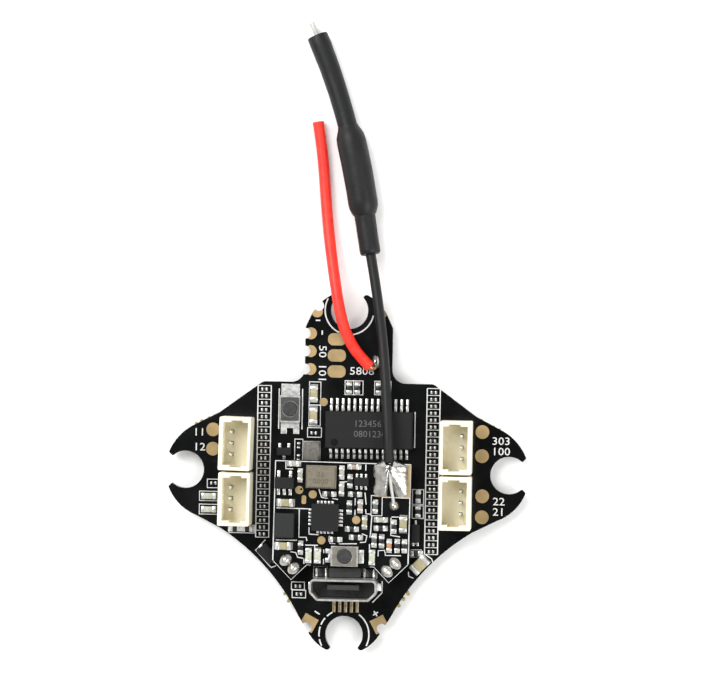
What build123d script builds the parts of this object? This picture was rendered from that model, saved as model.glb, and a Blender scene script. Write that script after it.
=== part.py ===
"""Flight controller board with a stacked video transmitter, its antenna and a receiver wire.

Millimetres, +Z up. The origin is on the surface that the board stands on, under the centre of the
four grommet notches. +Y points towards the antenna and +X to the right, seen from above.
"""

import os
from math import radians, sqrt, tan

from build123d import *

os.makedirs("parts", exist_ok=True)


def save(piece, name):
    """Labels a finished piece and writes it as its own STEP file."""
    piece.part.label = name
    export_step(piece.part, f"parts/{name}.step")


# ---------------------------------------------------------------- driving sizes of the stack
mount_square = 25.5  # side of the square on which the four notches stand, turned by 45 degrees
notch_radius = 2.08  # rubber grommet groove radius
notch_mouth = 45.5  # half of the notch's open angle, in degrees
board_thickness = 1.0
underside_height = 0.85  # tallest part below the board: what it stands on
pad_thickness = 0.04
stack_gap = 1.25  # from the main board up to the transmitter board
stack_thickness = 0.8
stack_turn = -0.65  # degrees: the transmitter board is soldered on slightly askew
fit_gap = 0.04  # clearance of pieces that slide or slip over one another

notch_reach = mount_square / sqrt(2)
board_reach_x = notch_reach + notch_radius - 0.23
board_reach_y = notch_reach + notch_radius - 0.36
tip_offset = notch_radius - 0.08  # of each pair of tips from its notch's middle line
board_bottom = underside_height
board_top = board_bottom + board_thickness
stack_bottom = board_top + stack_gap
stack_top = stack_bottom + stack_thickness
stack_place = Location((-0.35, -4.55, 0), (0, 0, stack_turn))


def on_main(x, y, turn=0):
    """A place on the main board's upper face."""
    return Location((x, y, board_top), (0, 0, turn))


def on_stack(x, y, turn=0):
    """A place on the transmitter board's upper face, in that board's own axes."""
    return Location((0, 0, stack_top)) * stack_place * Location((x, y, 0), (0, 0, turn))


def under_main(x, y, turn=0):
    """A place on the main board's lower face, looking down."""
    return Location((x, y, board_bottom), (180, 0, turn))


# ---------------------------------------------------------------- main board
neck_half_width = 4.87
shoulder_y = 9.97
shoulder_x = 9.5
neck_fillet = 1.5
shoulder_fillet = 0.8
tip_fillet = 0.14
edge_hole_radius = 0.6
edge_holes = [(-neck_half_width, y) for y in (15.4, 13.42, 11.42)]
horn_holes = [(-3.45, 18.5), (3.45, 18.5)]
battery_holes = [(-4.2, -17.35), (4.2, -17.35)]

with BuildSketch() as board_outline:
    with BuildLine():
        crown = Line((0, board_reach_y), (tip_offset, board_reach_y))
        horn = ThreePointArc(crown @ 1, (3.2, notch_reach + 0.82), (4.1, notch_reach - 0.28))
        neck_slope = Line(horn @ 1, (neck_half_width, notch_reach - 1.93))
        neck = Line(neck_slope @ 1, (neck_half_width, shoulder_y))
        shoulder = Line(neck @ 1, (shoulder_x, shoulder_y))
        wing_top = Line(shoulder @ 1, (14.3, 6.45))
        wing_slope = Line(wing_top @ 1, (notch_reach - 0.73, 4.9))
        wing_end = ThreePointArc(wing_slope @ 1, (notch_reach + 0.82, 3.65), (board_reach_x, tip_offset))
        side = Line(wing_end @ 1, (board_reach_x, -tip_offset))
        low_end = ThreePointArc(side @ 1, (notch_reach + 0.77, -3.7), (notch_reach - 1.23, -5.05))
        low_slope = Line(low_end @ 1, (14.0, -6.45))
        flank = ThreePointArc(low_slope @ 1, (9.15, -10.4), (5.1, 1.93 - notch_reach))
        battery_edge = Line(flank @ 1, (3.85, -notch_reach - 0.07))
        low_horn = ThreePointArc(battery_edge @ 1, (3.1, -notch_reach - 0.97), (tip_offset, -board_reach_y))
        Line(low_horn @ 1, (0, -board_reach_y))
        mirror(about=Plane.YZ)
    make_face()
    for corner_x, corner_radius in ((neck_half_width, neck_fillet), (shoulder_x, shoulder_fillet)):
        corners = board_outline.vertices().filter_by(lambda v: abs(v.Y - shoulder_y) < 0.1)
        fillet(corners.filter_by(lambda v: abs(abs(v.X) - corner_x) < 0.1), corner_radius)
    with PolarLocations(notch_reach, 4):
        Circle(notch_radius, mode=Mode.SUBTRACT)
        mouth_half = 3 * tan(radians(notch_mouth))
        Polygon((0, 0), (3, mouth_half), (3, -mouth_half), align=None, mode=Mode.SUBTRACT)
    tips = board_outline.vertices().filter_by(lambda v: max(abs(v.X), abs(v.Y)) > notch_reach + 1.2)
    fillet(tips, tip_fillet)
    with Locations(*edge_holes, *horn_holes, *battery_holes):
        Circle(edge_hole_radius, mode=Mode.SUBTRACT)

# Holes of the four pins that carry the transmitter board.
link_pitch = 1.27
link_pin_side = 0.4
link_hole_radius = 0.36
link_rows = [(-5.62, -5.72, -45), (5.62, -5.72, 45)]
link_step = link_pitch / 2 * sqrt(0.5)
link_places = [
    (x + way * link_step, y + (way if turn > 0 else -way) * link_step, turn)
    for x, y, turn in link_rows
    for way in (-1, 1)
]

with BuildPart() as main_board:
    with BuildSketch(Plane.XY.offset(board_bottom)):
        add(board_outline.sketch)
        with Locations(*[stack_place * Location((x, y, 0)) for x, y, _ in link_places]):
            Circle(link_hole_radius, mode=Mode.SUBTRACT)
    extrude(amount=board_thickness)
save(main_board, "main_board")

# ---------------------------------------------------------------- gold pads of the main board
wing_pad_radius = 0.76
wing_pads = [(-15.0, 4.5), (-15.0, 2.35), (15.0, 4.77), (15.0, 2.1), (15.1, -2.35), (15.1, -4.68)]
neck_pad_x = -1.33
neck_pads = [(neck_pad_x, y) for y in (14.78, 12.98, 11.2)]
test_pad = (-2.7, 7.78)
wire_pad = (3.02, 12.3)
battery_pad_side = 1.65


def main_pad_shapes():
    """All gold pads of one face, to be drawn inside a sketch and trimmed to the board."""
    with Locations(*[(x + 0.62, y) for x, y in edge_holes]):
        Circle(0.66)
    with Locations((-3.6, 17.8), (3.6, 17.8)):
        Circle(0.62)
    with Locations(Location((-3.95, -16.83, 0), (0, 0, -28)), Location((3.95, -16.83, 0), (0, 0, 28))):
        Rectangle(battery_pad_side, battery_pad_side)
    add(board_outline.sketch, mode=Mode.INTERSECT)


with BuildPart() as main_board_pads:
    with BuildSketch(Plane.XY.offset(board_top)):
        main_pad_shapes()
        with Locations(*wing_pads):
            Circle(wing_pad_radius)
        with Locations(*neck_pads):
            RectangleRounded(2.02, 1.36, 0.6)
        with Locations(test_pad):
            Circle(0.46)
        with Locations(wire_pad):
            Ellipse(0.48, 0.78)
    extrude(amount=pad_thickness)
    with BuildSketch(Plane.XY.offset(board_bottom - pad_thickness)):
        main_pad_shapes()
    extrude(amount=pad_thickness)
save(main_board_pads, "main_board_pads")

# ---------------------------------------------------------------- chip parts
body_align = (Align.CENTER, Align.CENTER, Align.MIN)  # centred, standing on its own plane

# length, width, height and the length of each tinned end
chip_sizes = {
    "0201": (0.6, 0.3, 0.25, 0.14),
    "0402": (1.05, 0.54, 0.38, 0.27),
    "0603": (1.6, 0.8, 0.6, 0.36),
    "0805": (2.0, 1.25, 0.7, 0.42),
    "array": (1.3, 0.9, 0.45, 0.24),
    "lamp": (1.6, 0.64, 0.45, 0.34),
}
solder_reach = {"0201": 0.08, "0402": 0.26, "0603": 0.22, "0805": 0.12, "array": 0.08, "lamp": 0.1}
end_proud = 0.02  # the tinned ends stand this much proud of the body


def chip_bodies(places):
    """The bodies of chip parts, given as (location, size name)."""
    with BuildPart() as bodies:
        for size in sorted({name for _, name in places}):
            length, width, height, end = chip_sizes[size]
            with Locations(*[place for place, name in places if name == size]):
                Box(length - 2 * end, width, height, align=body_align)
    return bodies


def chip_end(size, side):
    """One tinned end with its solder fillet, at the origin's board level."""
    length, width, height, end = chip_sizes[size]
    inner, outer, reach = length / 2 - end, length / 2, solder_reach[size]
    with BuildPart() as tinned_end:
        with BuildSketch(Plane.XZ) as profile:
            with BuildLine():
                Polyline(
                    (side * inner, 0),
                    (side * inner, height + end_proud),
                    (side * outer, height + end_proud),
                    (side * outer, height * 0.7),
                    (side * (outer + reach), height * 0.15),
                    (side * (outer + reach), 0),
                    close=True,
                )
            make_face()
        extrude(amount=width / 2 + end_proud, both=True)
    return tinned_end.part


def chip_ends(places):
    """The tinned ends of the same chip parts, two to each."""
    with BuildPart() as ends:
        for size in sorted({name for _, name in places}):
            for side in (-1, 1):
                with Locations(*[place for place, name in places if name == size]):
                    add(chip_end(size, side))
    return ends


ladder_pitch = 0.768
ladder_top = 9.1
left_ladder = [(on_main(-9.33, ladder_top - ladder_pitch * row), "0201") for row in range(22)]
right_ladder = [(on_main(9.52, ladder_top - 0.05 - ladder_pitch * row), "0201") for row in range(24)]
main_resistor_places = left_ladder + right_ladder + [
    (on_main(-3.75, 4.32), "0201"),
    (on_main(-5.4, 2.9, 90), "0201"),
    (on_main(-5.4, 1.55, 90), "0201"),
    (on_main(0.12, 9.4, 90), "0402"),
    (on_main(1.05, 9.4, 90), "0402"),
    (on_main(3.4, 9.4, 90), "0402"),
    (on_main(4.3, 9.4, 90), "0402"),
    (on_main(8.0, -2.5, 90), "0402"),
    (on_main(8.0, -4.2, 90), "0402"),
    (on_main(7.85, -8.85), "0402"),
    (on_main(-5.22, -12.75), "0201"),
    (on_main(-5.1, -13.62), "0201"),
    (on_main(-14.85, -1.48), "0201"),
    (on_main(-12.36, -6.5), "0402"),
    (on_main(-10.98, -6.5), "0402"),
    (on_main(-2.6, -11.12), "array"),
    (on_main(2.72, -11.12), "array"),
]
main_capacitor_places = [
    (on_main(-3.78, 8.72, 90), "0603"),
    (on_main(-3.78, 6.25, 90), "0603"),
    (on_main(8.3, -10.1, 45), "0805"),
]
status_led_places = [(on_main(-15.33, -2.92), "lamp"), (on_main(-15.33, -4.4), "lamp")]

save(chip_bodies(main_resistor_places), "main_resistors")
save(chip_bodies(main_capacitor_places), "main_capacitors")
save(chip_bodies(status_led_places), "status_leds")
save(chip_ends(main_resistor_places + main_capacitor_places + status_led_places), "main_chip_ends")

stack_resistor_places = [
    (on_stack(x, y, turn), "0402")
    for x, y, turn in [
        (-1.42, 2.19, 0),
        (-4.44, -3.85, 90),
        (0.84, 3.68, 90),
        (1.42, 2.25, 0),
        (0.83, 0.77, 90),
        (5.84, -1.2, 90),
        (4.37, -1.42, 0),
        (4.52, -2.84, 90),
        (6.25, -3.32, 90),
        (7.05, -3.32, 90),
        (1.18, -1.61, 0),
        (-0.62, -2.81, 0),
        (1.65, -2.51, 0),
    ]
]
stack_capacitor_places = [
    (on_stack(-5.43, 5.41), "0402"),
    (on_stack(-4.71, 4.15, 90), "0402"),
    (on_stack(-6.24, 1.09), "0603"),
    (on_stack(-6.34, -3.7), "0603"),
    (on_stack(1.26, 5.28), "0402"),
    (on_stack(3.71, 0.95, 90), "0402"),
    (on_stack(6.85, -0.88, 90), "0603"),
    (on_stack(2.57, -0.83, 90), "0402"),
    (on_stack(3.68, -2.8, 90), "0402"),
    (on_stack(-0.1, 4.61, 90), "0402"),
    (on_stack(-0.08, 2.75, 90), "0402"),
    (on_stack(2.04, 0.94, 90), "0402"),
    (on_stack(4.36, -0.48), "0402"),
    (on_stack(5.36, -3.33, 90), "0402"),
]
channel_led_places = [(on_stack(x, -4.68, 90), "lamp") for x in (-3.54, -2.5, 3.5)]

save(chip_bodies(stack_resistor_places), "transmitter_resistors")
save(chip_bodies(stack_capacitor_places), "transmitter_capacitors")
save(chip_bodies(channel_led_places), "channel_leds")
save(
    chip_ends(stack_resistor_places + stack_capacitor_places + channel_led_places),
    "transmitter_chip_ends",
)

# ---------------------------------------------------------------- motor connectors
connector_length = 5.9
connector_depth = 3.5
connector_height = 4.2
connector_x = 12.2
connector_y = 3.06
connector_lean = {(-1, 1): -1.2, (-1, -1): -0.4, (1, 1): 0.0, (1, -1): 0.0}  # degrees askew as soldered
outer_wall = 0.45
inner_wall = 0.32
end_wall = 0.58
connector_floor = 0.9
pin_pitch = 1.25
pin_side = 0.32
pin_height = 2.6
pin_shift = 0.58  # the pins stand this far outwards of the middle
key_width = 1.3  # recess in the middle of each end wall
key_depth = 0.22


def connector_plane(side, end):
    return Plane(on_main(side * connector_x, end * connector_y, connector_lean[side, end]))


def motor_connector(side, end):
    """One upright three-pin socket. side is -1 on the left and 1 on the right."""
    middle = connector_plane(side, end)
    with BuildPart() as housing:
        with BuildSketch(middle):
            Rectangle(connector_depth, connector_length)
        extrude(amount=connector_height)
        chamfer(housing.edges().filter_by(Axis.Z), 0.1)
        with BuildSketch(middle.offset(connector_floor)):
            with Locations((side * (inner_wall - outer_wall) / 2, 0)):
                Rectangle(connector_depth - outer_wall - inner_wall, connector_length - 2 * end_wall)
            with Locations((side * (inner_wall - outer_wall) / 2 - 0.1 * side, 0)):
                Rectangle(key_width, connector_length - 2 * end_wall + 2 * key_depth)
        extrude(amount=connector_height, mode=Mode.SUBTRACT)
        with BuildSketch(middle):
            with Locations(*pin_spots(side)):
                Rectangle(pin_side + 2 * fit_gap, pin_side + 2 * fit_gap)
        extrude(amount=connector_floor, mode=Mode.SUBTRACT)
        # Foot grooves under the outer wall, and two latch windows through it.
        with BuildSketch(middle):
            with Locations(*foot_spots(side)):
                Rectangle(foot_length + 2 * fit_gap, pin_side + 2 * fit_gap)
        extrude(amount=foot_height + fit_gap, mode=Mode.SUBTRACT)
        with BuildSketch(middle.offset(connector_height - 1.5)):
            with Locations(*[(side * (connector_depth - outer_wall) / 2, y) for y in (-0.36, 0.36)]):
                Rectangle(outer_wall + 0.1, 0.34)
        extrude(amount=0.9, mode=Mode.SUBTRACT)
    return housing


foot_height = 0.2
foot_length = connector_depth / 2 - pin_shift


def pin_spots(side):
    return [(side * pin_shift, pin_pitch * row) for row in (-1, 0, 1)]


def foot_spots(side):
    return [(side * (pin_shift + foot_length / 2), y) for _, y in pin_spots(side)]


connector_names = {
    (-1, 1): "motor_connector_rear_left",
    (1, 1): "motor_connector_rear_right",
    (-1, -1): "motor_connector_front_left",
    (1, -1): "motor_connector_front_right",
}
for (side, end), name in connector_names.items():
    save(motor_connector(side, end), name)

with BuildPart() as motor_connector_pins:
    for side, end in connector_names:
        middle = connector_plane(side, end)
        with BuildSketch(middle):
            with Locations(*pin_spots(side)):
                Rectangle(pin_side, pin_side)
        extrude(amount=pin_height)
        with BuildSketch(middle):
            with Locations(*foot_spots(side)):
                Rectangle(foot_length, pin_side)
        extrude(amount=foot_height)
save(motor_connector_pins, "motor_connector_pins")

# ---------------------------------------------------------------- leaded chips
chip_clearance = 0.08  # under a leaded body
lead_thickness = 0.15


def gull_lead(width, root_height, reach):
    """One gull-wing lead that leaves a body at x = 0 and lands at x = reach."""
    low, high = lead_thickness, root_height + lead_thickness
    with BuildPart() as lead:
        with BuildSketch(Plane.XZ):
            with BuildLine():
                Polyline(
                    (0, root_height),
                    (reach * 0.28, root_height),
                    (reach * 0.45, 0),
                    (reach, 0),
                    (reach, low),
                    (reach * 0.6, low),
                    (reach * 0.42, high),
                    (0, high),
                    close=True,
                )
            make_face()
        extrude(amount=width / 2, both=True)
    return lead.part


def lead_places(frame, half_body, offsets, turns):
    """Places of leads along the sides of a body: turns says which sides, in degrees."""
    return [
        frame * Location((0, 0, 0), (0, 0, turn)) * Location((half_body, offset, 0))
        for turn in turns
        for offset in offsets[turn]
    ]


display_chip_size = (9.7, 4.15, 1.0)
display_chip_place = on_main(2.42, 4.74)
display_lead_pitch = 0.65
display_lead_offsets = [display_lead_pitch * (i - 6.5) for i in range(14)]

with BuildPart() as display_chip:
    with Locations(display_chip_place * Location((0, 0, chip_clearance))):
        Box(*display_chip_size, align=body_align)
    chamfer(display_chip.edges().group_by(Axis.Z)[-1], 0.12)
    with Locations(display_chip_place * Location((-3.8, -1.4, chip_clearance + display_chip_size[2]))):
        Cylinder(0.4, 0.16, mode=Mode.SUBTRACT)
save(display_chip, "display_chip")

small_body_size = (1.6, 0.85, 0.6)
transistor_place = on_main(-7.0, 2.2)
logic_chip_size = (0.9, 2.0, 0.6)
logic_chip_place = on_main(7.78, -6.6)
diode_size = (2.1, 1.4, 0.8)
diode_place = on_main(-8.62, -9.2, -45)

with BuildPart() as main_small_chips:
    with Locations(transistor_place * Location((0, 0, chip_clearance))):
        Box(*small_body_size, align=body_align)
    with Locations(logic_chip_place * Location((0, 0, chip_clearance))):
        Box(*logic_chip_size, align=body_align)
    with Locations(diode_place * Location((0, 0, chip_clearance))):
        Box(*diode_size, align=body_align)
    chamfer(main_small_chips.edges().group_by(Axis.Z)[-1], 0.06)
save(main_small_chips, "main_small_chips")

with BuildPart() as main_chip_leads:
    for turn, reach in ((90, 1.42), (-90, 1.15)):
        display_sides = {turn: display_lead_offsets}
        with Locations(*lead_places(display_chip_place, display_chip_size[1] / 2, display_sides, (turn,))):
            add(gull_lead(0.28, 0.42, reach))
    transistor_sides = {90: (-0.5, 0.5), -90: (0,)}
    with Locations(*lead_places(transistor_place, small_body_size[1] / 2, transistor_sides, (90, -90))):
        add(gull_lead(0.3, 0.25, 0.5))
    logic_sides = {90: (0,), -90: (-0.25, 0.25)}
    with Locations(*lead_places(logic_chip_place, logic_chip_size[1] / 2, logic_sides, (90, -90))):
        add(gull_lead(0.26, 0.25, 0.42))
    diode_sides = {0: (0,), 180: (0,)}
    with Locations(*lead_places(diode_place, diode_size[0] / 2, diode_sides, (0, 180))):
        add(gull_lead(0.55, 0.3, 0.26))
save(main_chip_leads, "main_chip_leads")

crystal_size = (2.0, 2.5, 0.6)
with BuildPart() as crystal:
    with Locations(on_main(-3.92, 2.2)):
        Box(crystal_size[0], crystal_size[1], 0.25, align=body_align)
    with Locations(on_main(-3.92, 2.2) * Location((0, 0, 0.25))):
        Box(crystal_size[0] - 0.35, crystal_size[1] - 0.35, crystal_size[2] - 0.25, align=body_align)
save(crystal, "crystal")

# ---------------------------------------------------------------- USB socket
usb_width = 7.4
usb_depth = 2.34
usb_height = 5.0
usb_wall = 0.2
usb_middle_x = 0.08
usb_middle_y = -12.8
usb_base = 0.3  # thickness of the plastic under the shell
usb_floor = 1.6  # depth of plastic inside the shell, from the board
usb_slope = 0.85
tongue_width = 3.5
tongue_thickness = 0.55
usb_contact_pitch = 0.65
usb_contact_width = 0.34
usb_tail_end = -15.55


def usb_outline(inset):
    """The D-shaped mouth, inset from the shell's outer face."""
    x, low, high = usb_width / 2 - inset, -usb_depth / 2 + inset, usb_depth / 2 - inset
    corner = usb_slope - inset * 0.4
    with BuildSketch(mode=Mode.PRIVATE) as mouth:
        with BuildLine():
            Polyline(
                (-x, high),
                (x, high),
                (x, low + corner),
                (x - corner, low),
                (corner - x, low),
                (-x, low + corner),
                close=True,
            )
        make_face()
        fillet(mouth.vertices().filter_by(lambda v: v.Y > 0), 0.55 - inset)
        fillet(mouth.vertices().filter_by(lambda v: v.Y < 0), 0.35 - inset * 0.5)
    return mouth.sketch


usb_plane = Plane((usb_middle_x, usb_middle_y, board_top))
tongue_shift = 0.28
groove_depth = 0.12

with BuildPart() as usb_shell:
    with BuildSketch(usb_plane.offset(usb_base)):
        add(usb_outline(0))
        add(usb_outline(usb_wall), mode=Mode.SUBTRACT)
    extrude(amount=usb_height - usb_base)
    with BuildSketch(usb_plane.offset(usb_base)):
        with Locations((usb_width / 2 + 0.17, 0.2), (-usb_width / 2 - 0.17, 0.2)):
            Rectangle(0.36, 0.8)
    extrude(amount=0.9)
save(usb_shell, "usb_shell")

contact_reach = usb_height - usb_floor - 1.1
contact_spots = [
    (usb_contact_pitch * i, tongue_shift - tongue_thickness / 2 + groove_depth / 2) for i in (-2, -1, 0, 1, 2)
]
with BuildPart() as usb_insulator:
    with BuildSketch(usb_plane):
        with Locations((0, 0.1)):
            Rectangle(usb_width - 1.2, usb_depth - 0.5)
        with Locations((0, usb_depth / 2 + 0.45)):
            Rectangle(tongue_width, 1.3)
    extrude(amount=usb_base)
    with BuildSketch(usb_plane.offset(usb_base)):
        with Locations((0, usb_depth / 2 + 0.58)):
            Rectangle(tongue_width, 1.04)
    extrude(amount=1.1)
    with BuildSketch(usb_plane.offset(usb_base)):
        add(usb_outline(usb_wall + fit_gap))
    extrude(amount=usb_floor - usb_base)
    with BuildSketch(usb_plane.offset(usb_floor)):
        with Locations((0, tongue_shift)):
            Rectangle(tongue_width, tongue_thickness)
    extrude(amount=usb_height - usb_floor - 0.8)
    with BuildSketch(usb_plane.offset(usb_floor)):
        with Locations(*contact_spots):
            Rectangle(usb_contact_width, groove_depth)
    extrude(amount=contact_reach, mode=Mode.SUBTRACT)
save(usb_insulator, "usb_insulator")

with BuildPart() as usb_contacts:
    with BuildSketch(usb_plane.offset(usb_floor)):
        with Locations(*contact_spots):
            Rectangle(usb_contact_width, groove_depth)
    extrude(amount=contact_reach)
    tail_root = usb_middle_y + 0.1 - (usb_depth - 0.5) / 2
    with BuildSketch(Plane((usb_middle_x + 0.05, (tail_root + usb_tail_end) / 2, board_top))):
        with Locations(*[(x, 0) for x, _ in contact_spots]):
            Rectangle(usb_contact_width, tail_root - usb_tail_end)
    extrude(amount=0.18)
save(usb_contacts, "usb_contacts")

# ---------------------------------------------------------------- push switches
switch_length = 3.0
switch_width = 2.0
switch_wall_height = 0.72
switch_floor = 0.22
switch_well_radius = 0.93
cover_thickness = 0.1
cover_rail = 0.1
plunger_radius = 0.8
flange_radius = 0.88
plunger_top = 1.02
dome_rise = 0.24
dome_thickness = 0.05
switch_travel = 0.2


def push_switch(prefix, place, terminal_reach, terminal_width):
    """A surface-mount push switch: base, sprung dome, plunger, steel cover and two terminals."""
    frame = Plane(place)
    rest_gap = 0.01
    flange_low = switch_floor + dome_rise + rest_gap
    with BuildPart() as base:
        with BuildSketch(frame):
            Rectangle(switch_length, switch_width)
        extrude(amount=switch_wall_height)
        with BuildSketch(frame.offset(switch_floor)):
            Circle(switch_well_radius)
        extrude(amount=switch_wall_height, mode=Mode.SUBTRACT)
    save(base, f"{prefix}_base")

    dome_radius = switch_well_radius - fit_gap
    curve_radius = (dome_radius**2 + dome_rise**2) / (2 * dome_rise)
    with BuildPart(frame.offset(switch_floor + dome_rise - curve_radius)) as dome:
        Sphere(curve_radius)
        Sphere(curve_radius - dome_thickness, mode=Mode.SUBTRACT)
        with Locations((0, 0, curve_radius - dome_rise)):
            Cylinder(dome_radius, dome_rise * 2, align=body_align, mode=Mode.INTERSECT)
    save(dome, f"{prefix}_dome")

    with BuildPart() as plunger:
        with BuildSketch(frame.offset(flange_low)):
            Circle(flange_radius)
        extrude(amount=switch_wall_height - rest_gap - flange_low)
        with BuildSketch(frame.offset(switch_wall_height - rest_gap)):
            Circle(plunger_radius)
        extrude(amount=plunger_top - switch_wall_height + rest_gap)
        fillet(plunger.edges().group_by(Axis.Z)[-1], 0.08)
    save(plunger, f"{prefix}_plunger")

    with BuildPart() as cover:
        with BuildSketch(frame.offset(switch_wall_height)):
            Rectangle(switch_length, switch_width + 2 * cover_rail)
            Circle(plunger_radius + fit_gap, mode=Mode.SUBTRACT)
        extrude(amount=cover_thickness)
        with BuildSketch(frame.offset(0.1)):
            with Locations(*[(0, way * (switch_width + cover_rail) / 2) for way in (-1, 1)]):
                Rectangle(switch_length, cover_rail)
        extrude(amount=switch_wall_height - 0.1)
    save(cover, f"{prefix}_cover")

    with BuildPart() as terminals:
        with BuildSketch(frame):
            with Locations(*[(way * (switch_length + terminal_reach) / 2, 0) for way in (-1, 1)]):
                Rectangle(terminal_reach, terminal_width)
            with Locations((-switch_length / 2 - terminal_reach, 0)):
                Rectangle(terminal_reach, terminal_width * 0.35, mode=Mode.SUBTRACT)
        extrude(amount=0.22)
    save(terminals, f"{prefix}_terminals")


push_switch("boot_switch", on_main(-6.4, 6.95, 90), 1.28, 2.05)
push_switch("channel_switch", on_stack(0.47, -4.62), 0.62, 1.5)

# ---------------------------------------------------------------- transmitter board
stack_half_width = 7.63
stack_half_length = 5.85
foot_x = 5.42
foot_y = -7.6

with BuildSketch() as stack_outline:
    with BuildLine():
        right = Polyline(
            (0, stack_half_length),
            (stack_half_width, stack_half_length),
            (stack_half_width, foot_y + (stack_half_width - foot_x)),
            (foot_x, foot_y),
            (foot_x - (-stack_half_length - foot_y), -stack_half_length),
            (0, -stack_half_length),
        )
        mirror(about=Plane.YZ)
    make_face()
    fillet(stack_outline.vertices().filter_by(lambda v: v.Y > 0 and abs(v.X) > 1), 0.25)

stack_plane = Plane(stack_place)
with BuildPart() as transmitter_board:
    with BuildSketch(stack_plane.offset(stack_bottom)):
        add(stack_outline.sketch)
        with Locations(*[(x, y) for x, y, _ in link_places]):
            Circle(link_hole_radius, mode=Mode.SUBTRACT)
    extrude(amount=stack_thickness)
save(transmitter_board, "transmitter_board")

ground_pad = (5.55, 3.85, 3.9, 3.6)  # middle x, middle y, width, length
ground_slot = (5.45, 2.8, 1.0, 1.5)
core_pad = (5.78, 1.1)
with BuildPart() as transmitter_pads:
    with BuildSketch(stack_plane.offset(stack_top)):
        with Locations((-4.79, 2.53), (-3.27, 2.09), (1.63, -0.59), (-2.17, -2.96)):
            Circle(0.45)
        with Locations((-4.56, 2.63)):
            Circle(0.13, mode=Mode.SUBTRACT)
        with Locations((-4.24, 1.47)):
            RectangleRounded(0.5, 0.95, 0.18)
        with Locations(ground_pad[:2]):
            Rectangle(*ground_pad[2:])
        with Locations(ground_slot[:2]):
            Rectangle(*ground_slot[2:], mode=Mode.SUBTRACT)
        with Locations(core_pad):
            Circle(0.5)
        for x, y, turn in link_places:
            with Locations(Location((x, y, 0), (0, 0, turn))):
                RectangleRounded(0.96, 1.24, 0.28)
            with Locations((x, y)):
                Circle(link_hole_radius, mode=Mode.SUBTRACT)
        add(stack_outline.sketch, mode=Mode.INTERSECT)
    extrude(amount=pad_thickness)
save(transmitter_pads, "transmitter_pads")

# ---------------------------------------------------------------- pins between the boards
pin_over = 0.5
with BuildPart() as link_pins:
    with BuildSketch(stack_plane.offset(board_bottom - pad_thickness)):
        for x, y, turn in link_places:
            with Locations(Location((x, y, 0), (0, 0, turn))):
                Rectangle(link_pin_side, link_pin_side)
    extrude(amount=stack_top + pin_over - board_bottom + pad_thickness)
save(link_pins, "link_pins")

with BuildPart() as link_headers:
    for x, y, turn in link_rows:
        row_plane = Plane(stack_place * Location((x, y, board_top), (0, 0, turn)))
        with BuildSketch(row_plane):
            Rectangle(2 * link_pitch, 1.1)
            with Locations((-link_pitch / 2, 0), (link_pitch / 2, 0)):
                Rectangle(link_pin_side + fit_gap, link_pin_side + fit_gap, mode=Mode.SUBTRACT)
        extrude(amount=stack_gap)
save(link_headers, "link_headers")

link_joint_width = 1.02
link_joint_length = 1.3
with BuildPart() as link_solder:
    for x, y, turn in link_places:
        joint_plane = Plane(stack_place * Location((x, y, stack_top + pad_thickness), (0, 0, turn)))
        with BuildSketch(joint_plane):
            RectangleRounded(link_joint_width, link_joint_length, 0.3)
        with BuildSketch(joint_plane.offset(0.5)):
            RectangleRounded(0.6, 0.7, 0.25)
        loft()
        with BuildSketch(joint_plane):
            Rectangle(link_pin_side + 0.01, link_pin_side + 0.01)
        extrude(amount=0.55, mode=Mode.SUBTRACT)
save(link_solder, "link_solder")

# ---------------------------------------------------------------- larger transmitter parts
rf_chip_place = on_stack(-1.82, -0.41)
rf_chip_side = 3.0
rf_lead_offsets = [0.4 * i for i in (-2, -1, 0, 1, 2)]
regulator_size = (2.1, 1.25, 0.75)
regulator_place = on_stack(-6.42, 3.27)
switcher_size = (1.6, 0.9, 0.5)
switcher_place = on_stack(2.09, 3.65)

with BuildPart() as rf_chip:
    with Locations(rf_chip_place):
        Box(rf_chip_side, rf_chip_side, 0.75, align=body_align)
save(rf_chip, "rf_chip")

with BuildPart() as transmitter_regulators:
    with Locations(regulator_place * Location((0, 0, chip_clearance))):
        Box(*regulator_size, align=body_align)
    with Locations(switcher_place * Location((0, 0, chip_clearance))):
        Box(*switcher_size, align=body_align)
    regulator_tops = transmitter_regulators.faces().filter_by(lambda f: f.normal_at().Z > 0.99)
    chamfer(regulator_tops.edges(), 0.06)
save(transmitter_regulators, "transmitter_regulators")

with BuildPart() as transmitter_chip_leads:
    for turn, reach in ((0, 0.46), (90, 0.32), (180, 0.34), (-90, 0.28)):
        sides = {turn: rf_lead_offsets}
        with Locations(*lead_places(rf_chip_place, rf_chip_side / 2, sides, (turn,))):
            Box(reach, 0.24, 0.2, align=(Align.MIN, Align.CENTER, Align.MIN))
    regulator_sides = {90: (-0.65, 0.65), -90: (-0.65, 0, 0.65)}
    with Locations(*lead_places(regulator_place, regulator_size[1] / 2, regulator_sides, (90, -90))):
        add(gull_lead(0.32, 0.3, 0.72))
    switcher_sides = {90: (-0.5, 0, 0.5), -90: (-0.5, 0, 0.5)}
    with Locations(*lead_places(switcher_place, switcher_size[1] / 2, switcher_sides, (90, -90))):
        add(gull_lead(0.24, 0.2, 0.42))
save(transmitter_chip_leads, "transmitter_chip_leads")

oscillator_size = (3.4, 2.55, 0.9)
oscillator_place = on_stack(-2.38, 4.06)
with BuildPart() as oscillator:
    with Locations(oscillator_place):
        Box(oscillator_size[0], oscillator_size[1], 0.3, align=body_align)
    with Locations(oscillator_place * Location((0, 0, 0.3))):
        Box(oscillator_size[0] - 0.3, oscillator_size[1] - 0.3, oscillator_size[2] - 0.3, align=body_align)
save(oscillator, "oscillator")

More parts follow.
